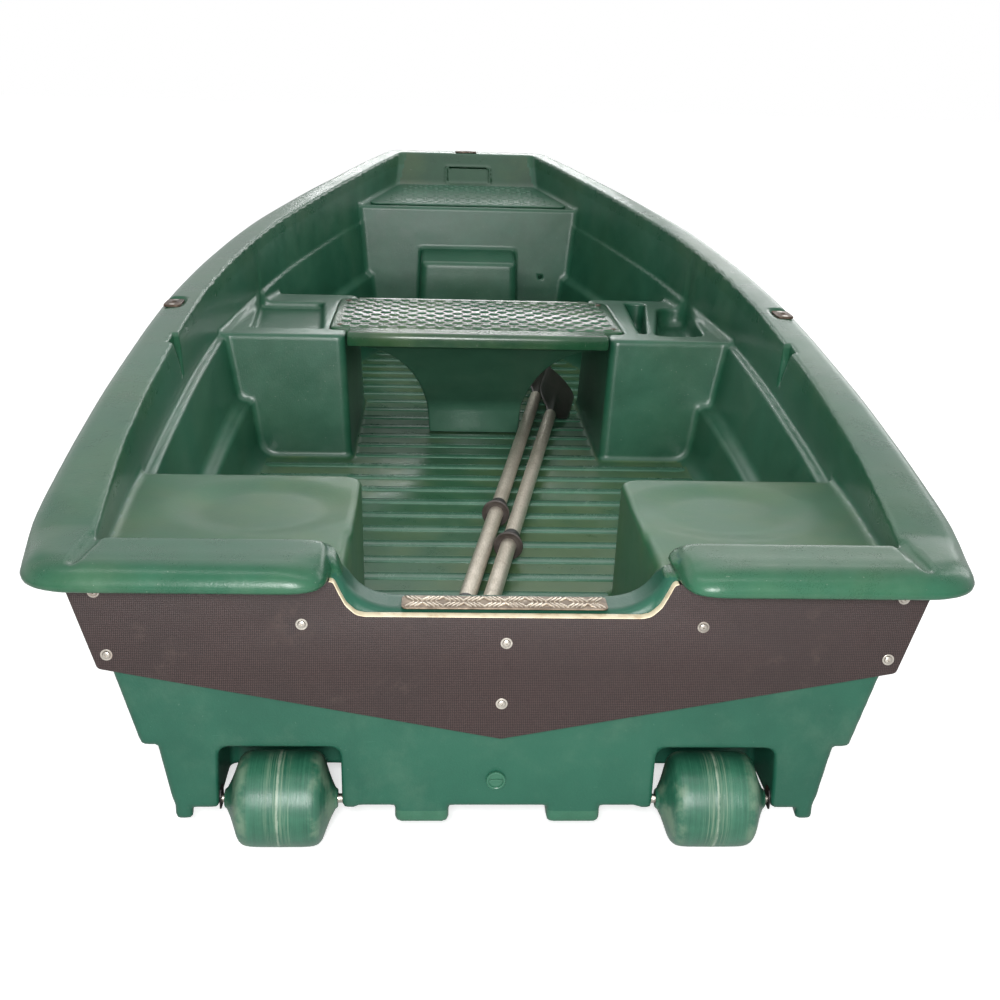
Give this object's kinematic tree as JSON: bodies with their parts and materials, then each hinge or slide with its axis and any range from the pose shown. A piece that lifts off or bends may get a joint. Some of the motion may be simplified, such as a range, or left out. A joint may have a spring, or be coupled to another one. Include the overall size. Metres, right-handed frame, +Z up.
{
  "type": "rowing boat",
  "caption": "Rotomoulded pram-bow rowing boat with ribbed cockpit sole, centre thwart on side pedestals, stern seats, motor pad, two roller wheels and stowed oars.",
  "frame": {"origin": "centre of the bounding box at ground level, under the wheels and the forward keel strips", "axes": "+Z up, +Y toward the bow, +X to starboard"},
  "size_m": [1.6, 3.7, 0.93],
  "materials": {
    "green_polyethylene": "semi-gloss moulded polyethylene with fine orange peel",
    "wheel_polyethylene": "smooth moulded, scuffed",
    "film_faced_plywood": "mesh-pressed phenolic film, pale sealed edge",
    "aluminium_tread": "bright raised tread",
    "steel": "zinc plated",
    "rusty_steel": "dull, lightly rusted",
    "oar_aluminium": "worn satin tube",
    "black_plastic": "satin",
    "blade_plastic": "satin moulded"
  },
  "bodies": {
    "hull": {"hull_bottom": "green_polyethylene", "stern_bottom": "green_polyethylene", "keel_strip_port": "green_polyethylene", "keel_strip_starboard": "green_polyethylene", "chine_rail_port": "green_polyethylene", "chine_rail_starboard": "green_polyethylene", "transom": "green_polyethylene", "side_aft_port": "green_polyethylene", "side_aft_starboard": "green_polyethylene", "side_mid_port": "green_polyethylene", "side_mid_starboard": "green_polyethylene", "side_fore_port": "green_polyethylene", "side_fore_starboard": "green_polyethylene", "gunwale_aft_port": "green_polyethylene", "gunwale_aft_starboard": "green_polyethylene", "gunwale_fore_port": "green_polyethylene", "gunwale_fore_starboard": "green_polyethylene", "stern_rim_port": "green_polyethylene", "stern_rim_starboard": "green_polyethylene", "bow_rim": "green_polyethylene", "bow_panel": "green_polyethylene", "bow_locker": "green_polyethylene", "locker_deck": "green_polyethylene", "locker_step": "green_polyethylene", "floor_ribs": "green_polyethylene", "stern_seat_port": "green_polyethylene", "stern_seat_starboard": "green_polyethylene", "pedestal_port": "green_polyethylene", "pedestal_starboard": "green_polyethylene", "thwart": "green_polyethylene", "thwart_tread": "green_polyethylene", "thwart_leg": "green_polyethylene", "transom_pad": "film_faced_plywood", "tread_strip": "aluminium_tread", "drain_plug": "green_polyethylene", "axle_port": "steel", "axle_starboard": "steel", "oarlock_socket_port": "rusty_steel", "oarlock_socket_starboard": "rusty_steel", "bow_socket": "rusty_steel", "oar_port_shaft": "oar_aluminium", "oar_port_grip": "black_plastic", "oar_port_collar": "black_plastic", "oar_port_blade": "blade_plastic", "oar_starboard_shaft": "oar_aluminium", "oar_starboard_grip": "black_plastic", "oar_starboard_collar": "black_plastic", "oar_starboard_blade": "blade_plastic"},
    "port_wheel": {"wheel_port": "wheel_polyethylene"},
    "starboard_wheel": {"wheel_starboard": "wheel_polyethylene"}
  },
  "joints": [
    {"name": "port_wheel_spin", "type": "hinge", "parent": "hull", "child": "port_wheel", "pos_m": [-0.37, -1.733, 0.082], "axis": [1, 0, 0], "continuous": true},
    {"name": "starboard_wheel_spin", "type": "hinge", "parent": "hull", "child": "starboard_wheel", "pos_m": [0.37, -1.733, 0.082], "axis": [1, 0, 0], "continuous": true}
  ]
}
